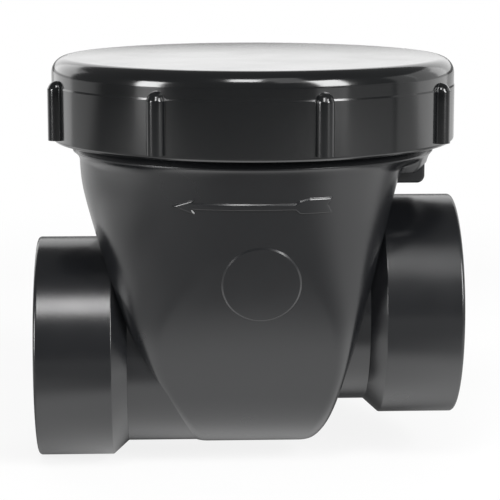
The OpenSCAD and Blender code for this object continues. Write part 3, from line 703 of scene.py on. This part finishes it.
# Lamps: name, place, aim, width and height, and level
LAMPS = (("left_softbox", (-1.25, -0.76, 0.42), LAMP_AIM, (0.42, 0.75), 18),
         ("left_low_card", (-1.25, -0.76, 0.0), (0.05, -0.08, 0.0), (0.42, 0.1), 1.3),
         ("front_softbox", (-0.03, -0.95, 1.25), LAMP_AIM, (0.36, 0.45), 16),
         ("right_softbox", (1.07, -1.07, 0.76), LAMP_AIM, (0.47, 1.0), 18),
         ("right_low_card", (1.10, -1.15, 0.0), (0.13, -0.09, 0.0), (0.47, 0.1), 1.5),
         ("right_fill", (0.40, -0.80, 1.10), LAMP_AIM, (0.36, 0.80), 1.4),
         ("back_panel", (0.1, 0.45, 0.305), (0.1, 0.0, 0.305), (1.5, 0.29), 1.3),
         ("left_panel", (-0.57, 0.73, 0.30), PANEL_AIM, (0.6, 0.7), 0.85),
         ("right_panel", (0.95, 0.45, 0.30), PANEL_AIM, (0.7, 0.7), 0.8),
         ("right_side_card", (1.05, 0.0, 0.30), PANEL_AIM, (0.30, 0.7), 0.55),
         ("right_card", (0.994, -0.464, 0.05), PANEL_AIM, (0.6, 0.3), 0.35))
floor_x, floor_y = np.meshgrid((-FLOOR_HALF, FLOOR_HALF), (-FLOOR_HALF, FLOOR_HALF))
floor_points, floor_faces = grid(np.stack([floor_x, floor_y, FLOOR_Z + 0 * floor_x], -1))
floor_mesh = bpy.data.meshes.new("floor")
floor_mesh.from_pydata(floor_points.tolist(), [], floor_faces.tolist())
floor = bpy.data.objects.new("floor", floor_mesh)
bpy.context.scene.collection.objects.link(floor)

# White studio paper: matt, with a mottle of about 30 mm that is too faint to draw the eye
paper = bpy.data.materials.new("white_studio_paper")
paper_tree = empty_tree(paper)
to_camera = node(paper_tree, "ShaderNodeLightPath").outputs["Is Camera Ray"]
paper_place = node(paper_tree, "ShaderNodeTexCoord").outputs["Object"]
paper_y = node(paper_tree, "ShaderNodeSeparateXYZ", {"Vector": paper_place}).outputs["Y"]
paper_grain = node(paper_tree, "ShaderNodeTexNoise", {"Vector": paper_place, "Scale": 1 / PAPER_MOTTLE})
paper_colour = node(paper_tree, "ShaderNodeMix", {"Factor": paper_grain.outputs["Fac"],
                                                  "A": linear("#e8e8e8"), "B": linear("#ededec")},
                    data_type="RGBA")
paper_matt = node(paper_tree, "ShaderNodeBsdfDiffuse", {"Color": paper_colour.outputs["Result"]})


def painted_pool(centre, reach, level):
    """Soft oval pool of light painted into the paper's glow, cast by no lamp: full within half of its reach,
    and fading out to its edge.
    """
    off = node(paper_tree, "ShaderNodeVectorMath", {0: paper_place, 1: (*centre, FLOOR_Z)},
               operation="SUBTRACT")
    share = node(paper_tree, "ShaderNodeVectorMath", {0: off.outputs["Vector"], 1: (*reach, 1.0)},
                 operation="DIVIDE")
    size = node(paper_tree, "ShaderNodeVectorMath", {0: share.outputs["Vector"]}, operation="LENGTH")
    return node(paper_tree, "ShaderNodeMapRange", {"Value": size.outputs["Value"], "From Min": 1.0,
                                                   "From Max": 0.5, "To Min": 0.0, "To Max": level},
                interpolation_type="SMOOTHSTEP").outputs["Result"]


# Painted light: the glow towards the back and the painted pools, added up, shine from the paper to every ray
# but the camera's
painted_glow_sum = node(paper_tree, "ShaderNodeMapRange", {"Value": paper_y, "From Min": BACK_FROM,
                                                    "From Max": BACK_TO, "To Min": 0.0,
                                                    "To Max": BACK_LEVEL},
                 interpolation_type="SMOOTHSTEP").outputs["Result"]
for centre, reach, level in PAINTED_POOLS:
    painted_glow_sum = node(paper_tree, "ShaderNodeMath", {0: painted_glow_sum, 1: painted_pool(centre, reach, level)},
                     operation="ADD").outputs["Value"]
paper_level = node(paper_tree, "ShaderNodeMix", {"Factor": to_camera, "A": painted_glow_sum, "B": 1.0},
                   data_type="FLOAT")
paper_glow = node(paper_tree, "ShaderNodeEmission", {"Color": linear("#ffffff"),
                                                     "Strength": paper_level.outputs["Result"]})
paper_off = node(paper_tree, "ShaderNodeVectorMath", {0: paper_place, 1: (CAP_X * MM, 0.0, FLOOR_Z)},
                 operation="DISTANCE")
paper_white = node(paper_tree, "ShaderNodeMapRange", {"Value": paper_off.outputs["Value"],
                                                      "From Min": NEAR_END, "From Max": FAR_START,
                                                      "To Min": GLOW_NEAR, "To Max": GLOW_FAR},
                   interpolation_type="SMOOTHSTEP")
paper_share = node(paper_tree, "ShaderNodeMix", {"Factor": to_camera, "A": GLOW_MIRRORED,
                                                 "B": paper_white.outputs["Result"]}, data_type="FLOAT")
paper_mix = node(paper_tree, "ShaderNodeMixShader", {"Fac": paper_share.outputs["Result"],
                                                     1: paper_matt.outputs["BSDF"],
                                                     2: paper_glow.outputs["Emission"]})
node(paper_tree, "ShaderNodeOutputMaterial", {"Surface": paper_mix.outputs["Shader"]})
floor_mesh.materials.append(paper)

world = bpy.data.worlds.new("white_surround")
bpy.context.scene.world = world
sky = empty_tree(world)
sky_path = node(sky, "ShaderNodeLightPath")
sky_level = node(sky, "ShaderNodeMapRange", {"Value": sky_path.outputs["Is Camera Ray"], "To Min": SKY_LEVEL,
                                             "To Max": 1.0})
sky_light = node(sky, "ShaderNodeBackground", {"Color": linear("#ffffff"),
                                               "Strength": sky_level.outputs["Result"]})
node(sky, "ShaderNodeOutputWorld", {"Surface": sky_light.outputs["Background"]})


def lamp(name, place, aim, size, level):
    """Soft rectangular lamp at a place, turned towards aim, out of the camera's sight. Its power is level
    times pi times its area, so that level is how bright its face looks beside white at 1."""
    light = bpy.data.lights.new(name, "AREA")
    light.shape = "RECTANGLE"
    light.size, light.size_y = size
    light.energy = level * math.pi * size[0] * size[1]
    holder = bpy.data.objects.new(name, light)
    holder.location = place
    holder.rotation_euler = (Vector(aim) - Vector(place)).to_track_quat("-Z", "Y").to_euler()
    holder.visible_camera = False
    bpy.context.scene.collection.objects.link(holder)


for settings in LAMPS:
    lamp(*settings)

# Camera: a long lens about 0.9 m in front of the valve, above the cap and a little to the outlet's side,
# which looks down on to the middle of the chamber.
LENS, SENSOR = 141.3, 36.0
CAMERA_PLACE, CAMERA_AIM = (CAP_X - 38.78, -898.34, 202.43), (CAP_X - 1.24, 0.0, 44.41)
camera_data = bpy.data.cameras.new("camera")
camera_data.lens, camera_data.sensor_width = LENS, SENSOR
camera = bpy.data.objects.new("camera", camera_data)
camera.location = [value * MM for value in CAMERA_PLACE]
camera_aim = Vector([value * MM for value in CAMERA_AIM])
camera.rotation_euler = (camera_aim - camera.location).to_track_quat("-Z", "Y").to_euler()
bpy.context.scene.collection.objects.link(camera)
bpy.context.scene.camera = camera
bpy.context.scene.view_settings.view_transform = "Standard"
